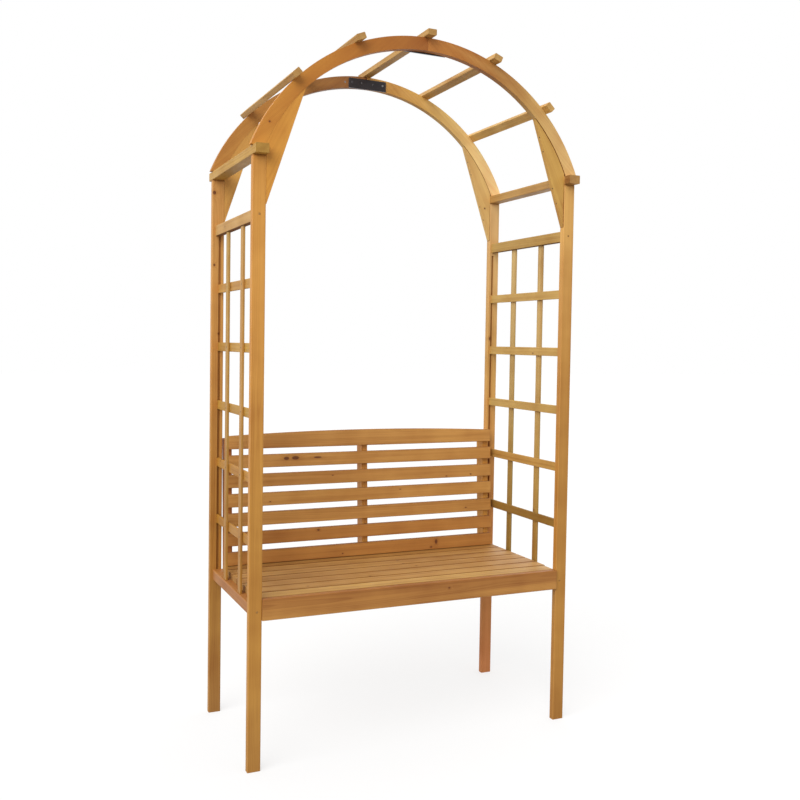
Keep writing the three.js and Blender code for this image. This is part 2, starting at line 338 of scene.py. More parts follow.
def timber_group():
    tree = bpy.data.node_groups.new("timber", "ShaderNodeTree")
    for way, kinds in GROUP_SOCKETS.items():
        for name, kind in kinds.items():
            tree.interface.new_socket(name, in_out=way, socket_type="NodeSocket" + kind)
    wires = Wiring(tree)
    given = wires.node("NodeGroupInput").outputs
    grain = wires.attribute("grain")
    edge, end, side = wires.parts(wires.attribute("wear_and_painted_light"))

    def pattern(name, output=0):
        along, across, detail = PATTERNS[name]
        return wires.noise(wires.scaled(grain, (along, across, across)), detail, output=output)

    def sway(name, reach):
        away = wires.vector("SUBTRACT", pattern(name, 1), (0.5, 0.5, 0.5))
        return wires.scaled(away, (0.0, reach, reach))

    def swing(noise, weight):
        return wires.times(wires.math("SUBTRACT", noise, 0.5), weight)

    # The heart wanders along the log
    ripple = sway("ripple", ripple_reach)
    bent = wires.vector("ADD", wires.vector("ADD", grain, sway("drift", drift_reach)), ripple)
    radius = wires.vector("LENGTH", wires.scaled(bent, (0.0, 1.0, 1.0)), output="Value")

    face = 0.0
    halo = 0.0
    shaken = wires.vector("ADD", grain, ripple)
    for number in range(1, most_knots + 1):
        swell, one_face, share = knot_shape(wires, shaken, number)
        radius = wires.math("ADD", radius, swell)
        face = wires.math("MAXIMUM", one_face, face)
        one_halo = wires.between(share, *halo_rim, 0.0, halo_depth)
        has_knot = wires.math("GREATER_THAN", swell, least_swell)
        halo = wires.math("MAXIMUM", wires.times(one_halo, has_knot), halo)

    # Rings: pale spring wood that darkens slowly to a summer line
    count = wires.math("DIVIDE", radius, ring_spacing)
    year = wires.math("FLOOR", count)
    band = wires.ramp(wires.math("FRACT", count), RING_STOPS)
    chance = wires.node("TexWhiteNoise", {"W": year}, noise_dimensions="1D").outputs["Value"]
    ring = wires.times(band, wires.between(chance, 0.0, 1.0, faintest_ring, 1.0, "LINEAR"))

    found = {name: pattern(name) for name in ("streak", "broad", "fibre", "cloud", "plane")}
    depth = wires.times(ring, ring_weight)
    for name, weight in FIGURE.items():
        depth = wires.math("ADD", depth, swing(found[name], weight))
    depth = wires.times(depth, given["Figure"])
    depth = wires.math("ADD", depth, swing(found["cloud"], cloud_weight))
    depth = wires.math("ADD", depth, plain_depth)
    depth = wires.math("ADD", depth, wires.times(halo, halo_depth), clamp=True)
    colour = wires.mix(depth, given["Pale"], given["Deep"])
    colour = wires.mix(wires.times(end, end_cover), colour, END_GRAIN)
    # Each board's tint: its own tone, with painted light and shade
    colour = wires.mix(1.0, colour, wires.attribute("tint"), "MULTIPLY")

    # Rubbed arrises are paler where the stain has worn, and painted shade darkens gaps, grooves and
    # undersides
    patches = wires.between(pattern("rub"), *rub_rim, least_rub)
    rubbed = wires.times(wires.times(wires.between(edge, *worn_rim), patches), given["Rub"])
    colour = wires.mix(rubbed, colour, RUBBED_WOOD)
    held = wires.times(wires.between(side, *held_rim), given["Painted Shade"])
    colour = wires.mix(held, colour, PAINTED_SHADE_COLOUR, "MULTIPLY")

    # Knots
    knot_rings = wires.math("SINE", wires.times(radius, knot_ring_pace))
    knot_colour = wires.mix(wires.between(knot_rings, -1.0, 1.0), KNOT_DARK, KNOT_LIGHT)
    colour = wires.mix(wires.times(face, knot_cover), colour, knot_colour)

    # Painted shade: the colour darkens lower down, and the feet take up damp
    level = wires.parts(wires.node("TexCoord").outputs["Object"])[2]
    height = wires.math("MULTIPLY_ADD", found["broad"], ragged, level)
    colour = wires.mix(wires.between(height, *painted_shade_heights), colour, LOW_PAINTED_SHADE, "MULTIPLY")
    damp = wires.between(height, *damp_part)
    colour = wires.mix(damp, colour, DAMP_WOOD, "MULTIPLY")

    found.update(ring=ring, end=end, rubbed=rubbed, damp=damp, held=held, face=face)

    def total(weights, start=0.0):
        for name, weight in weights.items():
            start = wires.math("MULTIPLY_ADD", found[name], weight, start)
        return start

    roughness = total(ROUGHNESS, plain_roughness)
    roughness.node.use_clamp = True
    wires.node("NodeGroupOutput", {"Color": colour, "Roughness": roughness, "Height": total(RELIEF)})
    return tree


def material(name):
    made = bpy.data.materials.new(name)
    made.use_nodes = True
    made.node_tree.nodes.clear()
    return made, Wiring(made.node_tree)


def add_shader(wires, sockets, height, distance, strength):
    """The material's shader, with a bump of the height's pattern."""
    bump = wires.node("Bump", {"Height": height, "Distance": distance, "Strength": strength})
    principled = wires.node("BsdfPrincipled", {**sockets, "Normal": bump.outputs["Normal"]})
    wires.node("OutputMaterial", {"Surface": principled.outputs["BSDF"]})


def timber(slot, pale, deep, figure, rub, painted_shade_share):
    made, wires = material(slot)
    inputs = {"Pale": srgb(*pale), "Deep": srgb(*deep), "Figure": figure, "Rub": rub, "Painted Shade": painted_shade_share}
    group = wires.node("Group", inputs, node_tree=TIMBER).outputs
    sockets = {"Base Color": group["Color"], "Roughness": group["Roughness"], "Specular IOR Level": 0.32}
    add_shader(wires, sockets, group["Height"], distance=0.001, strength=0.6)
    return made


def coated_steel():
    """Black powder coat with a fine orange peel, rubbed grey along its edges, and a painted highlight in
    pale grey along the lowest.
    """
    made, wires = material("black_steel")
    place = wires.attribute("grain")
    edge, _, under = wires.parts(wires.attribute("wear_and_painted_light"))
    peel = wires.noise(place, detail=2.0, scale=1400.0)
    smudge = wires.noise(place, detail=3.0, scale=70.0)
    chips = wires.between(wires.noise(place, detail=4.0, scale=420.0), *chip_rim)
    worn = wires.times(wires.between(edge, *chipped_edge), chips)
    black = wires.mix(smudge, srgb(30, 25, 27), srgb(50, 43, 45))
    colour = wires.mix(worn, black, srgb(138, 134, 130))
    # Painted highlight: the lowest edge turns pale grey
    lowest_highlight = wires.between(under, *lowest_highlight_rim, 0.0, lowest_highlight_cover)
    sockets = {
        "Base Color": wires.mix(lowest_highlight, colour, srgb(158, 160, 168)),
        "Metallic": 0.35,
        "Roughness": wires.math("MULTIPLY_ADD", smudge, 0.25, 0.34),
    }
    height = wires.math("MULTIPLY_ADD", peel, 0.03, wires.times(worn, -0.05))
    add_shader(wires, sockets, height, distance=0.001, strength=0.8)
    return made


def plated_steel(name, bright, dark):
    """Dull plating of screws and brads, darker in patches, with the faint rings of turning."""
    made, wires = material(name)
    place = wires.attribute("grain")
    tarnish = wires.noise(place, detail=3.0, scale=520.0)
    turned_marks = wires.noise(place, detail=1.0, scale=3000.0)
    sockets = {
        "Base Color": wires.mix(wires.between(tarnish, *tarnish_rim), srgb(*bright), srgb(*dark)),
        "Metallic": 0.75,
        "Roughness": wires.math("MULTIPLY_ADD", tarnish, 0.30, 0.32),
    }
    add_shader(wires, sockets, turned_marks, distance=0.00006, strength=0.7)
    return made


TIMBER = timber_group()
TIMBERS = {  # pale and deep colour, and the shares of figure, rubbed arrises and painted shade
    "post_timber": ((222, 166, 92), (176, 114, 52), 0.75, 0.45, 1.0),
    "arch_timber": ((216, 163, 83), (173, 108, 45), 0.62, 0.20, 1.0),
    "batten_timber": ((218, 174, 102), (164, 113, 50), 0.9, 0.35, 0.60),
    "lattice_timber": ((214, 168, 94), (168, 116, 52), 0.9, 0.20, 0.85),
    "back_timber": ((222, 164, 92), (174, 111, 52), 1.0, 0.08, 0.45),
    "seat_timber": ((213, 163, 99), (163, 108, 55), 1.15, 0.05, 0.92),
    "frame_timber": ((206, 142, 78), (156, 92, 44), 1.00, 0.20, 0.0),
}
FINISHES = {slot: timber(slot, *look) for slot, look in TIMBERS.items()}
FINISHES["black_steel"] = coated_steel()
ZINC = plated_steel("zinc_plated_steel", (168, 166, 164), (96, 92, 92))
YELLOW_ZINC = plated_steel("yellow_plated_steel", (196, 150, 88), (140, 96, 52))
BRAD_STEEL = plated_steel("brad_steel", (76, 56, 40), (40, 28, 22))
BLACK_ZINC = plated_steel("black_plated_steel", (96, 92, 94), (52, 48, 50))


# Shades of each board, as red, green and blue shares of the finish's own colour: partly the boards' own
# tones of stain, partly painted light and shade

SHADES = {
    "plain": (1.0, 1.0, 1.0),
    "chestnut": (0.45, 0.36, 0.41),
    "rust": (0.60, 0.39, 0.30),
    "russet": (0.68, 0.50, 0.38),
    "ember": (0.86, 0.64, 0.38),
    "tawny": (0.88, 0.66, 0.56),
    "bistre": (0.59, 0.57, 0.43),
    "umber": (0.64, 0.72, 0.66),
    "hazel": (0.84, 0.71, 0.50),
    "caramel": (0.89, 0.74, 0.40),
    "sepia": (0.84, 0.74, 0.66),
    "toasted": (0.82, 0.76, 0.58),
    "drab": (0.84, 0.89, 0.84),
    "brown": (0.86, 0.82, 0.75),
    "tan": (0.92, 0.90, 0.90),
    "warm": (0.96, 0.91, 0.76),
    "ochre": (0.86, 0.82, 0.50),
    "golden": (1.04, 0.95, 0.68),
    "amber": (1.08, 0.93, 0.62),
    "honey": (0.98, 1.08, 1.10),
    "copper": (1.30, 1.12, 1.20),
    "ruddy": (1.60, 1.27, 1.85),
    "apricot": (1.12, 1.13, 1.20),
    "light": (1.13, 1.24, 1.26),
    "cream": (1.00, 1.17, 1.56),
    "fair": (1.28, 1.38, 1.42),
    "straw": (1.60, 1.75, 1.40),
    "flaxen": (1.75, 2.05, 1.50),
    "blond": (1.28, 1.60, 2.40),
    "pale": (1.38, 1.76, 2.95),
    "lit_pale": (1.90, 2.60, 5.00),
}
BOARD_SHADES = {
    # Arch boards: darker at the crown and paler at the foot, partly their own tone and partly painted
    # light; the rear right foot is painted brightly lit
    "front_left_arch_board": ("rust", "ember", "amber"),
    "front_right_arch_board": ("tawny", "russet", "cream", "pale"),
    "rear_left_arch_board": ("chestnut", "chestnut", "sepia", "sepia"),
    "rear_right_arch_board": ("apricot", "light", "blond", "lit_pale"),
    # Painted shadow: the apron darkens towards its top, under the seat
    "seat_apron": ("light", "brown"),
    "front_left_gusset": "amber",
    "front_right_gusset": "honey",
    # Painted light: the rear right gusset is paler, as lit
    "rear_right_gusset": "blond",
    "front_left_post": ("warm", "golden"),
    "front_right_post": ("warm", "warm", "toasted", "light"),
    "rear_left_post": ("tan", "toasted", "warm", "plain"),
    # Painted light: the rear right post is paler at its foot, where the seat's shade falls, and at its
    # top
    "rear_right_post": ("ruddy", "copper", "honey", "blond"),
    "left_spring_batten": "ochre",
    "right_spring_batten": "tan",
    # Painted shade: the uprights darken downwards, towards the seat
    "left_front_lattice_upright": ("hazel", "tan"),
    "left_rear_lattice_upright": ("hazel", "drab"),
    "arch_batten_3": "brown",
    "arch_batten_5": "fair",
    "right_front_lattice_upright": ("drab", "cream"),
    "right_rear_lattice_upright": ("umber", "cream"),
    "left_top_rail": "tan",
    "left_lattice_rail_1": "warm",
    "left_lattice_rail_2": "ochre",
    "left_lattice_rail_3": "ochre",
    "left_lattice_rail_4": "caramel",
    "left_lattice_rail_5": "caramel",
    "right_lattice_rail_1": "honey",
    "right_lattice_rail_2": "honey",
    "right_lattice_rail_3": "honey",
    "right_lattice_rail_5": "bistre",
    "right_top_rail": "drab",
    "back_slat_5": "tan",
    "back_slat_6": "sepia",
    "back_slat_7": "sepia",
    # Painted shade: the seat darkens from its front board to its back one, under the backrest
    "seat_board_1": "light",
    "seat_board_7": "brown",
    # Painted light and shade on the stiles, seen between the slats: the left one darker, the middle and
    # right ones paler
    "left_back_stile": "ember",
    "middle_back_stile": "straw",
    "right_back_stile": "flaxen",
}


def tint_of(node):
    """The shade of a board at any point: its own tone, with painted light and shade. Several shades
    grade into each other upwards, and in an arch board from the crown down."""
    names = BOARD_SHADES.get(node, "plain")
    shades = [SHADES[name] for name in ([names] if isinstance(names, str) else names)]
    if len(shades) == 1:
        return lambda point: shades[0]
    low, high = span(node)

    def tint(point):
        share = (point.z - low.z) / (high.z - low.z)
        if node.endswith("arch_board"):
            share = abs(point.x) / arch_high.x
        place = min(1.0, max(0.0, share)) * (len(shades) - 1)
        first = min(int(place), len(shades) - 2)
        blend = place - first
        return tuple(a + (b - a) * blend for a, b in zip(shades[first], shades[first + 1]))

    return tint


# Pieces

def new_object(name, data):
    made = bpy.data.objects.new(name, data)
    bpy.context.scene.collection.objects.link(made)
    return made


def kept_mesh(shape, name):
    mesh = bpy.data.meshes.new(name)
    shape.to_mesh(mesh)
    shape.free()
    return mesh


def write_vectors(mesh, name, values):
    made = mesh.attributes.new(name, "FLOAT_VECTOR", "POINT")
    made.data.foreach_set("vector", [number for value in values for number in value])


def add_piece(name, shape, finish, grain_frame, wear_and_painted_light, knots=(), node=""):
    """Makes a piece of the bmesh shape, in the row frame. grain_frame's X runs with the grain."""
    shape.normal_update()
    to_grain = grain_frame.inverted()
    chance = random.Random(name)
    turn = chance.uniform(0, 2 * math.pi)
    reach = chance.uniform(pith_near, pith_far)
    start = chance.uniform(-log_reach, log_reach)
    shift = Vector((start, reach * math.cos(turn), reach * math.sin(turn)))
    for edge in shape.edges:
        edge.smooth = len(edge.link_faces) == 2 and edge.calc_face_angle() < crease_angle
    for face in shape.faces:
        face.smooth = True
    tint = tint_of(node)
    stretches = [1.0] * most_knots
    vectors = {
        "grain": [to_grain @ v.co + shift for v in shape.verts],
        "wear_and_painted_light": [wear_and_painted_light(v) for v in shape.verts],
        "tint": [tint(v.co) for v in shape.verts],
    }
    for number, (along, across, radius, stretch) in enumerate(knots):
        place = (along + shift.x, across + shift.y, radius)
        vectors[f"knot_{number + 1}"] = [place] * len(shape.verts)
        stretches[number] = 1 / stretch
    vectors["stretch"] = [stretches] * len(shape.verts)
    mesh = kept_mesh(shape, name)
    for attribute, values in vectors.items():
        write_vectors(mesh, attribute, values)
    piece = new_object(name, mesh)
    mesh.materials.append(finish)
    flats = piece.modifiers.new("flat faces", "WEIGHTED_NORMAL")
    flats.keep_sharp = True
    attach(piece, "root")
    return piece


def add_part(node, slot, shape, place, wear_and_painted_light, knots=(), stuff="timber"):
    """The piece that stands for a node of the frame."""
    piece = add_piece(f"{node}_{stuff}", shape, FINISHES[slot], place, wear_and_painted_light, knots, node)
    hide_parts(node)


def chance_knots(name, length, width):
    """A few small knots, where none are listed."""
    chance = random.Random(f"knots {name}")
    count = min(most_knots, int(length * knots_per_metre + chance.random()))
    knots = []
    for _ in range(count):
        place = [chance.uniform(-s, s) * size for s, size in zip(knot_spread, (length, width))]
        knots.append((*place, chance.uniform(*small_knot), knot_stretch))
    return knots


def round_edges(shape, edges, radius, steps):
    bmesh.ops.bevel(
        shape, geom=edges, offset=radius, offset_type="OFFSET", segments=steps, profile=0.5,
        affect="EDGES", clamp_overlap=True,
    )


def cut_ring(shape, point, normal):
    """Adds a ring of corners where the plane at point meets the shape."""
    parts = shape.verts[:] + shape.edges[:] + shape.faces[:]
    bmesh.ops.bisect_plane(shape, geom=parts, plane_co=point, plane_no=normal)


def carved(shape, cutters):
    """The shape with the cutters' space taken out of it. Both bmeshes are used up."""
    holders = [new_object(n, kept_mesh(s, n)) for n, s in (("carved", shape), ("cutters", cutters))]
    carving = holders[0].modifiers.new("carving", "BOOLEAN")
    carving.operation = "DIFFERENCE"
    carving.solver = "EXACT"
    carving.object = holders[1]
    evaluated = holders[0].evaluated_get(bpy.context.evaluated_depsgraph_get())
    result = bmesh.new()
    result.from_mesh(evaluated.to_mesh())
    evaluated.to_mesh_clear()
    for holder in holders:
        mesh = holder.data
        bpy.data.objects.remove(holder)
        bpy.data.meshes.remove(mesh)
    bmesh.ops.remove_doubles(result, verts=result.verts, dist=1e-6)
    return result


def add_copies(shape, template, places):
    """Adds a copy of the template mesh at each place."""
    for place in places:
        start = len(shape.verts)
        shape.from_mesh(template)
        shape.verts.ensure_lookup_table()
        bmesh.ops.transform(shape, matrix=place, verts=shape.verts[start:])


def box_shape(low, high):
    shape = bmesh.new()
    bmesh.ops.create_cube(shape, size=1)
    bmesh.ops.scale(shape, vec=high - low, verts=shape.verts)
    bmesh.ops.translate(shape, vec=(low + high) / 2, verts=shape.verts)
    return shape


def turned(profile):
    """A solid turned round Z. Its profile's points, (radius, height), start and end on the axis."""
    shape = bmesh.new()
    rings = []
    for radius, height in profile:
        angles = [2 * math.pi * i / round_steps for i in range(round_steps if radius else 1)]
        corners = [(radius * math.cos(a), radius * math.sin(a), height) for a in angles]
        rings.append([shape.verts.new(corner) for corner in corners])
    for upper, lower in zip(rings, rings[1:]):
        for i in range(round_steps):
            j = (i + 1) % round_steps
            if len(upper) == 1:
                shape.faces.new((upper[0], lower[i], lower[j]))
            elif len(lower) == 1:
                shape.faces.new((upper[i], lower[0], upper[j]))
            else:
                shape.faces.new((upper[i], lower[i], lower[j], upper[j]))
    return shape


def head_shape(radius, height, dome, rim, sunk):
    """A head with a dome over its rim. It reaches down to -sunk."""
    curve = [(radius * out, height * up) for out, up in dome]
    return turned([(0, height)] + curve + [(radius, rim), (radius, -sunk), (0, -sunk)])


def cross_head(radius, height, sunk):
    """A screw's head with a cross recess."""
    head = head_shape(radius, height, cross_dome, -rim_drop * radius, sunk)
    for x, y in ((recess_reach, recess_width / 2), (recess_width / 2, recess_reach)):
        low = Vector((-x, -y, height - recess_depth))
        head = carved(head, box_shape(low, Vector((x, y, height + recess_clearance))))
    return kept_mesh(head, "cross head")


SUNK_SCREW = cross_head(screw_radius, screw_dome, bore_depth)
PAN_SCREW = cross_head(pan_radius, pan_dome, pan_rim)
BRAD = kept_mesh(head_shape(brad_radius, brad_proud, brad_dome, 0, brad_sunk), "brad head")
bore_profile = [(0, bore_depth), (screw_bore, bore_depth), (screw_bore, -bore_depth), (0, -bore_depth)]
BORE = kept_mesh(turned(bore_profile), "bore")


def facing(point, outwards):
    """A place at point whose Z runs outwards."""
    return Matrix.Translation(point) @ Vector(outwards).to_track_quat("Z", "Y").to_matrix().to_4x4()


def bare_wear(vertex):
    return (0.0, 0.0, 0.0)


def add_heads(name, template, places, finish, depth=0.0):
    """Heads of screws or brads, one piece. Each is turned by chance and set in by depth."""
    chance = random.Random(name)
    shape = bmesh.new()
    set_in = Matrix.Translation((0, 0, -depth))
    turns = [Matrix.Rotation(chance.uniform(0, math.pi), 4, "Z") for _ in places]
    add_copies(shape, template, [place @ set_in @ turn for place, turn in zip(places, turns)])
    add_piece(name, shape, finish, Matrix.Identity(4), bare_wear)


def bored(shape, places):
    bores = bmesh.new()
    add_copies(bores, BORE, places)
    return carved(shape, bores)


# Boards: straight, with rounded arrises

def rounded_board(length, width, thickness):
    """A board along X, as wide along Y and as thick along Z, with rounded edges and eased ends."""
    half = Vector((length, width, thickness)) / 2
    shape = box_shape(-half, half)
    radius = min(arris_radius, thin_board_share * thickness)
    ease = radius * end_radius / arris_radius
    long_edges = [e for e in shape.edges if abs(e.verts[0].co.x - e.verts[1].co.x) > length / 2]
    round_edges(shape, long_edges, radius, arris_steps)
    end = length / 2 - radius / 10
    end_edges = [e for e in shape.edges if min(abs(v.co.x) for v in e.verts) > end]
    round_edges(shape, end_edges, ease, end_steps)
    return shape


def board_frame(node, turn):
    """A board's own frame, X along it, Y across its face and Z through it, and its sizes."""
    low, high = span(node, turn)
    size = high - low
    order = sorted(range(3), key=lambda i: -size[i])
    axes = [turn.col[i].copy() for i in order]
    if axes[0].cross(axes[1]).dot(axes[2]) < 0:
        axes[2] = -axes[2]
    return placed(*axes, turn @ ((low + high) / 2)), [size[i] for i in order]


def arris_share(flatness):
    """0 on the flats and 1 halfway round an arris."""
    return min(1.0, (1 - flatness) / (1 - math.cos(math.pi / 4)))


# Painted shade of a corner, where shade falls between boards, in grooves and under things. side says how
# far the corner looks sideways

def on_sides(vertex, side):
    return side


# Painted shade under things, on faces that look down
def underneath(vertex, side):
    return max(0.0, -vertex.normal.z) ** shade_power


def nowhere(vertex, side):
    return 0.0


def board_wear(place, size, held):
    """Wear and painted shade of a board's corner: its share of arris, of end grain and of painted shade.
    """
    back = place.inverted()
    axes = [place.to_3x3().col[i].normalized() for i in range(3)]

    def wear_and_painted_light(vertex):
        insets = [length / 2 - abs(c) for length, c in zip(size, back @ vertex.co)]
        if sorted(insets)[1] > arris_zone:
            nearest = insets.index(min(insets))
            return (0.0, float(nearest == 0), held(vertex, float(nearest == 1)))
        along, across, through = (abs(vertex.normal.dot(axis)) for axis in axes)
        return (arris_share(max(along, across, through)), along**3, held(vertex, across))

    return wear_and_painted_light


def add_board(node, slot, turn=None, cut=None, held=on_sides):
    turn = turn or Matrix.Identity(3)
    place, size = board_frame(node, turn)
    shape = rounded_board(*size)
    shape.transform(place)
    if cut:
        shape = cut(shape)
    knots = KNOTS[node] if node in KNOTS else chance_knots(node, *size[:2])
    add_part(node, slot, shape, place, board_wear(place, size, held), knots)


# Slabs: flat boards and plates with an outline in X and Z

def slab(outline, front, back, radius):
    """Outline points (x, z) between two planes of Y, with the edges of its faces rounded."""
    shape = bmesh.new()
    near = [shape.verts.new((x, front, z)) for x, z in outline]
    far = [shape.verts.new((x, back, z)) for x, z in outline]
    shape.faces.new(near)
    shape.faces.new(far[::-1])
    count = len(outline)
    for i in range(count):
        j = (i + 1) % count
        shape.faces.new((near[j], near[i], far[i], far[j]))
    bmesh.ops.recalc_face_normals(shape, faces=shape.faces)
    edges = [e for e in shape.edges if e.calc_face_angle() > flat_edge_angle]
    round_edges(shape, edges, radius, arris_steps)
    return shape


def slab_wear(axis, direction, held):
    """Wear and painted light of a slab's corner. Axis is square to its faces, and direction runs with
    its grain.
    """
    def wear_and_painted_light(vertex):
        flat = abs(vertex.normal.dot(axis))
        side = math.sqrt(max(0.0, 1 - flat**2))
        end = abs(vertex.normal.dot(direction)) ** 3
        return (arris_share(max(flat, side)), end, held(vertex, side))

    return wear_and_painted_light


def arc(radius, start, stop, steps):
    """Points (x, z) on a circle round the arch's centre, angles from the crown."""
    angles = [start + (stop - start) * i / steps for i in range(steps + 1)]
    return [(radius * math.sin(a), arch_centre.z + radius * math.cos(a)) for a in angles]


def add_slab(node, outline, front, radius, grain_angle, held):
    """An arch board or gusset. front is the Y of its near face, grain_angle the grain's slope."""
    low, high = span(node)
    shape = slab(outline, front, high.y, radius)
    along = Vector((math.cos(grain_angle), 0, math.sin(grain_angle)))
    across = Vector((-math.sin(grain_angle), 0, math.cos(grain_angle)))
    place = placed(along, across, along.cross(across), (low + high) / 2)
    knots = []
    for x, z, size, stretch in SLAB_KNOTS.get(node, ()):
        point = place.inverted() @ Vector((x, low.y, z))
        knots.append((point.x, point.y, size, stretch))
    add_part(node, "arch_timber", shape, place, slab_wear(Vector((0, 1, 0)), along, held), knots)


def mirrored(outline, sign):
    return [(sign * x, z) for x, z in outline]


def arch_outline(node):
    low, high = span(node)
    near, far = far_from(node, arch_centre)
    gap = min(abs(low.x), abs(high.x))
    foot = low.z - arch_centre.z
    outer = arc(far, math.acos(foot / far), math.asin(gap / far), arc_steps)
    inner = arc(near, math.asin(gap / near), math.acos(foot / near), arc_steps)
    return outer + inner


def gusset_outline(node, seam):
    """From the toe, round the post's side and the arch, to the top of the straight edge."""
    low, high = span(node)
    inner, outer = sorted((abs(low.x), abs(high.x)))
    _, reach = far_from(node, arch_centre)
    reach += joint - seam
    outer += joint - seam
    top = arc(reach, math.asin(outer / reach), math.asin(inner / reach), arc_steps // 4)
    return [(outer - gusset_toe, low.z), (outer, low.z)] + top


# Knots that show: along the board from its middle, across its face, their radius and their stretch.
# Those of a slab have the place (x, z) instead.

KNOTS = {
    "back_slat_2": [
        (-0.276, 0.0062, 0.0055, 1.7), (-0.246, 0.0068, 0.0062, 2.0), (-0.171, 0.0057, 0.0030, 4.5),
    ],
    "back_slat_3": [
        (0.294, -0.0147, 0.0022, 1.4), (0.388, -0.0118, 0.0024, 1.4), (-0.120, 0.0060, 0.0016, 2.0),
    ],
    "back_slat_4": [(0.120, 0.0090, 0.0015, 2.0), (-0.330, -0.0080, 0.0020, 1.5)],
    "back_slat_5": [(0.368, -0.0060, 0.0022, 1.4)],
    "back_slat_6": [(-0.170, 0.0126, 0.0030, 1.6)],
    "back_slat_7": [
        (0.253, 0.0053, 0.0084, 0.62), (0.234, -0.0116, 0.0030, 1.2), (-0.087, -0.0095, 0.0020, 1.4),
    ],
    "seat_board_3": [(-0.099, -0.0226, 0.0028, 1.4)],
    "seat_board_5": [(0.060, -0.0270, 0.0032, 1.4), (0.059, 0.0160, 0.0030, 1.4)],
    "seat_apron": [(0.096, 0.0099, 0.0024, 1.5)],
    "right_top_rail": [],
    "front_left_post": [],
    "front_right_post": [],
    "rear_left_post": [
        (0.796, -0.0126, 0.0052, 1.2), (0.573, -0.0108, 0.0034, 1.2), (0.361, 0.0031, 0.0028, 1.2),
    ],
    "rear_right_post": [(0.361, -0.0095, 0.0046, 1.3)],
}
SLAB_KNOTS = {
    "front_left_arch_board": [(-0.464, 1.760, 0.0024, 1.2)],
    "rear_right_gusset": [(0.451, 1.652, 0.0028, 1.1)],
}


# Hoops: posts, arch boards, gussets and crown plates

def screws_into(hoop, side):
    """Places of the screws through a post's outer face into the ends of two rails."""
    post_low, post_high = span(f"{hoop}_{side}_post")
    outer = HOOPS[hoop] * max(abs(post_low.y), abs(post_high.y))
    places = []
    for rail in ("top_rail", "seat_rail"):
        low, high = span(f"{side}_{rail}")
        x = (max(low.x, post_low.x) + min(high.x, post_high.x)) / 2
        places.append(facing((x, outer, (low.z + high.z) / 2), (0, HOOPS[hoop], 0)))
    return places


def groove(hoop, side):
    """Space of the stopped groove that holds the ends of the side's laths."""
    rail_low, rail_high = span(f"{side}_lattice_rail_1")
    up_low, up_high = span(f"{side}_{hoop}_lattice_upright")
    inner = min(abs(c.y) for c in span(f"{hoop}_{side}_post"))
    ends = sorted(HOOPS[hoop] * y for y in (inner - 2 * joint, inner + groove_depth))
    low = Vector((rail_low.x - joint, ends[0], up_low.z))
    high = Vector((rail_high.x + joint, ends[1], up_high.z + joint - groove_stops[side]))
    return box_shape(low, high)


def beside_gusset(gusset):
    """Painted shade of an arch board, on its inner edge over a right gusset."""
    if gusset.endswith("left_gusset"):
        return nowhere
    reach = min(abs(c.x) for c in span(gusset))

    def held(vertex, side):
        inside = vertex.normal.dot(vertex.co - arch_centre) < 0
        return side**shade_power if inside and abs(vertex.co.x) > reach else 0.0

    return held


def add_post(hoop, hand):
    node = f"{hoop}_{hand}_post"
    low, high = span(node)
    centre = middle(node)
    inner = min(abs(low.y), abs(high.y))
    rail_low, rail_high = span(f"{hand}_lattice_rail_1")
    toe, _ = span(f"{hoop}_{hand}_gusset")
    places = screws_into(hoop, hand)

    def cut(shape):
        shape = bored(carved(shape, groove(hoop, hand)), places)
        rings = [high.z * i / post_rings for i in range(1, post_rings)]
        for height in [toe.z, toe.z - shade_fade_run, high.z - post_top_run] + rings:
            cut_ring(shape, (0, 0, height), (0, 0, 1))
        return shape

    def held(vertex, side):
        """Painted shade on the floor of the groove, painted shadow under the batten, and painted shade
        beside the gusset.
        """
        depth = abs(vertex.co.y) - inner
        in_line = rail_low.x - 2 * joint < vertex.co.x < rail_high.x + 2 * joint
        if in_line and groove_depth / 2 < depth < groove_depth + joint:
            return groove_painted_shades[hand]
        top = post_top_painted_shadow if vertex.co.z > high.z - post_top_run / 2 else 0.0
        beside = vertex.co.z > toe.z - shade_fade_run / 2 and 0 < vertex.co.x < centre.x
        return max(top, side**shade_power if beside else 0.0)

    add_board(node, "post_timber", cut=cut, held=held)
    add_heads(f"{node}_screws", SUNK_SCREW, places, YELLOW_ZINC, screw_sunk)


def add_gusset(hoop, side):
    node = f"{hoop}_{side}_gusset"
    sign = SIDES[side]
    outline = mirrored(gusset_outline(node, seams[side]), sign)
    front = span(node)[0].y
    if side == "left":
        front = span(f"{hoop}_{side}_post")[0].y + left_gusset_step
    add_slab(node, outline, front, slab_radii[side], -sign * gusset_grain, nowhere)
    add_gusset_brads(hoop, side, outline)


def add_arch_board(hoop, side):
    node = f"{hoop}_{side}_arch_board"
    sign = SIDES[side]
    outline = mirrored(arch_outline(node), sign)
    held = beside_gusset(f"{hoop}_{side}_gusset")
    add_slab(node, outline, span(node)[0].y, slab_radii[side], -sign * arch_grain, held)


def add_gusset_brads(hoop, side, outline):
    """Brads in the straight edge, which runs from the outline's last point to its first."""
    low, _ = span(f"{hoop}_{side}_gusset")
    toe = Vector((outline[0][0], 0, outline[0][1]))
    top = Vector((outline[-1][0], 0, outline[-1][1]))
    run = (toe - top).normalized()
    outwards = Vector((-run.z, 0, run.x))
    if outwards.x * toe.x > 0:
        outwards = -outwards
    near = low.y + gusset_brad_inset
    points = [top + share * (toe - top) for share in gusset_brad_shares]
    places = [facing((point.x, near, point.z), outwards) for point in points]
    add_heads(f"{hoop}_{side}_gusset_brads", BRAD, places, BRAD_STEEL)


def lower_edge(vertex, side):
    """Where a plate's lowest edge carries a painted highlight."""
    return side if vertex.normal.z < -side / 2 else 0.0


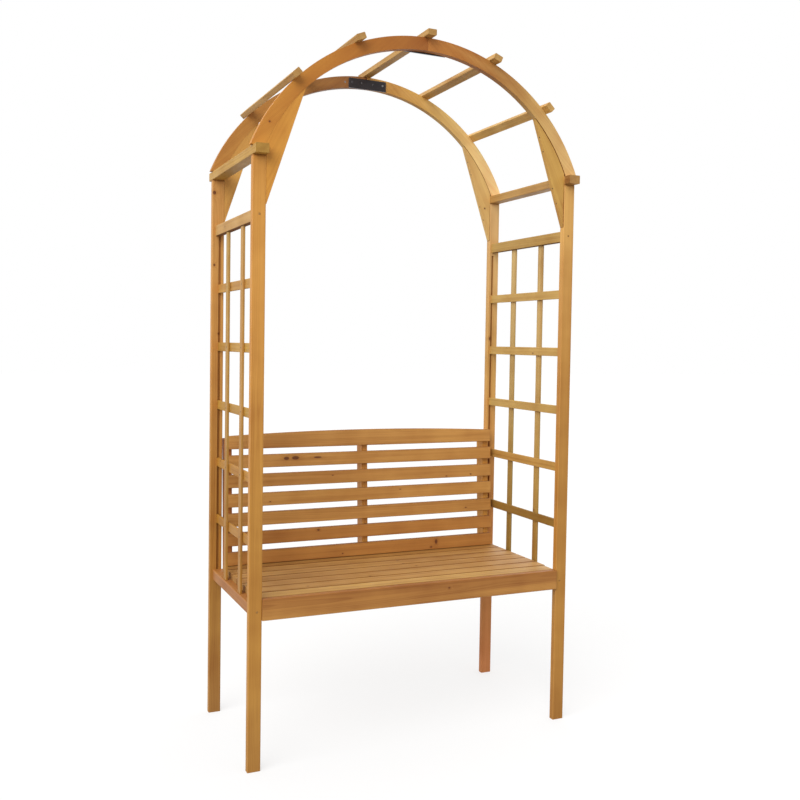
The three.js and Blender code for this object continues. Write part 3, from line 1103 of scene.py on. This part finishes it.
def add_crown_plate(hoop):
    """Inner face of the hoop, across the seam of its arch boards."""
    node = f"{hoop}_crown_plate"
    low, high = span(node)
    wood = HOOPS[hoop] * max(abs(low.y), abs(high.y))
    face = wood - HOOPS[hoop] * plate_thickness
    right, left = high.x - plate_corner, low.x + plate_corner
    top, bottom = high.z - plate_corner, low.z + plate_corner
    outline = []
    for quarter, (x, z) in enumerate(((right, top), (left, top), (left, bottom), (right, bottom))):
        for step in range(arris_steps + 1):
            angle = math.pi / 2 * (quarter + step / arris_steps)
            outline.append((x + plate_corner * math.cos(angle), z + plate_corner * math.sin(angle)))
    shape = slab(outline, min(wood, face), max(wood, face), plate_arris)
    wear_and_painted_light = slab_wear(Vector((0, 1, 0)), Vector((1, 0, 0)), lower_edge)
    add_part(node, "black_steel", shape, Matrix.Identity(4), wear_and_painted_light, stuff="steel")
    z = low.z + pan_height_share * (high.z - low.z)
    places = [facing((share * high.x, face, z), (0, -HOOPS[hoop], 0)) for share in pan_shares]
    add_heads(f"{node}_screws", PAN_SCREW, places[:-1], BLACK_ZINC)
    # Painted glint: the last screw is plated bright among the black ones
    add_heads(f"{node}_bright_screw", PAN_SCREW, places[-1:], ZINC)


def add_spare_screw():
    """One more screw in the rear hoop, left of its plate."""
    node = "rear_left_arch_board"
    near, far = far_from(node, arch_centre)
    angle = math.asin(spare_screw_x / far)
    reach = (near + far) / 2
    point = (reach * math.sin(angle), span(node)[0].y, arch_centre.z + reach * math.cos(angle))
    add_heads(f"{node}_screw", SUNK_SCREW, [facing(point, (0, -1, 0))], ZINC, -brad_proud)


for hoop in HOOPS:
    for side in SIDES:
        add_arch_board(hoop, side)
        add_gusset(hoop, side)
        add_post(hoop, side)
    add_crown_plate(hoop)
add_spare_screw()


# Battens over the hoops

posts_front = span("front_right_post")[0].y


def on_stub(vertex, side):
    """Painted shade on the inner side of a batten's front end, before the post."""
    inner = vertex.normal.x < -mostly and vertex.co.y < posts_front - shade_fade_run / 2
    return stub_painted_shade if inner else 0.0


def add_batten(node, angle, held=nowhere):
    """A batten whose outer face leans by angle from level, screwed down to both hoops."""
    turn = Matrix.Rotation(angle, 3, "Y")
    low, high = span(node, turn)
    places = []
    for hoop in HOOPS:
        y = middle(f"{hoop}_left_post").y
        point = turn @ Vector(((low.x + high.x) / 2, y, high.z))
        places.append(facing(point, turn.col[2]))

    def cut(shape):
        shape = bored(shape, places)
        if held == on_stub:
            for y in (posts_front, posts_front - shade_fade_run):
                cut_ring(shape, (0, y, 0), (0, 1, 0))
        return shape

    add_board(node, "batten_timber", turn, cut, held)
    add_heads(f"{node}_screws", SUNK_SCREW, places, YELLOW_ZINC, screw_sunk)


for number in range(1, 6):
    batten = f"arch_batten_{number}"
    place = middle(batten)
    add_batten(batten, math.atan2(place.x, place.z - arch_centre.z))
add_batten("left_spring_batten", 0.0)
add_batten("right_spring_batten", 0.0, on_stub)


# Sides: rails and the lattice's laths

def add_lattice_brads(side):
    """Brads through the uprights into the rails, where they cross."""
    places = []
    for hoop in HOOPS:
        low, high = span(f"{side}_{hoop}_lattice_upright")
        outer = low.x if SIDES[side] < 0 else high.x
        y = (low.y + high.y) / 2
        for number in range(1, 6):
            z = middle(f"{side}_lattice_rail_{number}").z
            places.append(facing((outer, y, z), (SIDES[side], 0, 0)))
    add_heads(f"{side}_lattice_brads", BRAD, places, BRAD_STEEL)


for side in SIDES:
    add_board(f"{side}_top_rail", "lattice_timber", held=underneath)
    for number in range(1, 6):
        add_board(f"{side}_lattice_rail_{number}", "lattice_timber", held=nowhere)
    for hoop in HOOPS:
        add_board(f"{side}_{hoop}_lattice_upright", "lattice_timber", held=nowhere)
    add_board(f"{side}_seat_rail", "frame_timber")
    add_lattice_brads(side)


# Seat

for node in ("seat_apron", "rear_seat_rail", "seat_bearer"):
    add_board(node, "frame_timber")
for number in range(1, 8):
    add_board(f"seat_board_{number}", "seat_timber")


# Backrest

def add_crown_slat():
    """The top slat, straight below and bowed above. Its ends are as high as a plain slat."""
    node = "back_slat_1"
    low, high = span(node, LEANING)
    plain_low, plain_high = span("back_slat_2", LEANING)
    height = plain_high.z - plain_low.z
    rise = high.z - low.z - height
    shares = [1 - 2 * i / bow_steps for i in range(bow_steps + 1)]
    curve = [(share * high.x, low.z + height + rise * (1 - share**2)) for share in shares]
    outline = [(-high.x, low.z), (high.x, low.z)] + curve
    shape = slab(outline, low.y, high.y, arris_radius)
    shape.transform(LEANING.to_4x4())
    along, through, up = LEANING.col
    place = placed(along, up, -through, LEANING @ ((low + high) / 2))
    add_part(node, "back_timber", shape, place, slab_wear(through, along, on_sides))


def add_stile(side):
    """An upright behind the slats, cut level where it stands on the seat's frame."""
    node = f"{side}_back_stile"
    low, high = span(node, LEANING)
    slope = (high.y - low.y) * math.tan(lean)
    outline = [(low.y, low.z), (high.y, low.z + slope), (high.y, high.z), (low.y, high.z)]
    quarter = Matrix.Rotation(math.pi / 2, 3, "Z")
    shape = slab(outline, -high.x, -low.x, arris_radius)
    shape.transform((LEANING @ quarter).to_4x4())
    across, through, up = LEANING.col
    place = placed(up, through, -across, LEANING @ ((low + high) / 2))
    add_part(node, "frame_timber", shape, place, slab_wear(across, up, nowhere))


add_crown_slat()
for number in range(2, 8):
    add_board(f"back_slat_{number}", "back_timber", LEANING)
for side in ("left", "middle", "right"):
    add_stile(side)


# Stage, light and camera

def seen_directly(wires):
    """1 for rays from the camera and for mirrored or refracted ones, else 0."""
    path = wires.node("LightPath")
    seen = wires.math("MAXIMUM", path.outputs["Is Camera Ray"], path.outputs["Is Glossy Ray"])
    return wires.math("MAXIMUM", seen, path.outputs["Is Transmission Ray"])


def add_floor():
    made, wires = material("floor")
    paper = wires.node("BsdfDiffuse", {"Color": (floor_tone, floor_tone, floor_tone, 1)})
    strength = wires.times(seen_directly(wires), floor_glow)
    glow = wires.node("Emission", {"Color": (1, 1, 1, 1), "Strength": strength})
    both = wires.node("AddShader", {0: paper.outputs[0], 1: glow.outputs[0]})
    wires.node("OutputMaterial", {"Surface": both.outputs[0]})
    shape = bmesh.new()
    bmesh.ops.create_grid(shape, x_segments=1, y_segments=1, size=floor_reach)
    mesh = kept_mesh(shape, "floor")
    mesh.materials.append(made)
    floor = new_object("floor", mesh)


def add_world():
    world = bpy.data.worlds.new("studio")
    world.use_nodes = True
    world.node_tree.nodes.clear()
    wires = Wiring(world.node_tree)
    strength = wires.between(seen_directly(wires), 0.0, 1.0, ambient, 1.0, "LINEAR")
    white = wires.node("Background", {"Color": (1, 1, 1, 1), "Strength": strength})
    wires.node("OutputWorld", {"Surface": white.outputs[0]})
    bpy.context.scene.world = world


def add_soft_sun(name, strength, spread, from_where, colour=(1, 1, 1)):
    lamp = bpy.data.lights.new(name, "SUN")
    lamp.color = colour
    lamp.energy = strength
    lamp.angle = math.radians(spread)
    new_object(name, lamp).rotation_euler = from_where.to_track_quat("Z", "Y").to_euler()


def add_camera():
    yaw, pitch, roll = (math.radians(a) for a in (camera_turn, camera_dip, camera_roll))
    right = Vector((math.cos(yaw), -math.sin(yaw), 0))
    level = Vector((math.sin(yaw), math.cos(yaw), 0))
    up = Vector((0, 0, 1))
    ahead = math.cos(pitch) * level - math.sin(pitch) * up
    above = math.sin(pitch) * level + math.cos(pitch) * up
    across = math.cos(roll) * right + math.sin(roll) * above
    upright = math.cos(roll) * above - math.sin(roll) * right
    lens = bpy.data.cameras.new("camera")
    lens.lens = camera_lens
    lens.sensor_width = sensor_width
    lens.shift_x, lens.shift_y = camera_shift
    holder = new_object("camera", lens)
    holder.matrix_world = placed(across, upright, -ahead, camera_place)
    bpy.context.scene.camera = holder


add_floor()
add_world()
add_soft_sun("key", sun_strength, sun_spread, sun_from)
add_soft_sun("fill", fill_strength, fill_spread, fill_from, fill_colour)
add_camera()
bpy.context.scene.view_settings.view_transform = "Standard"
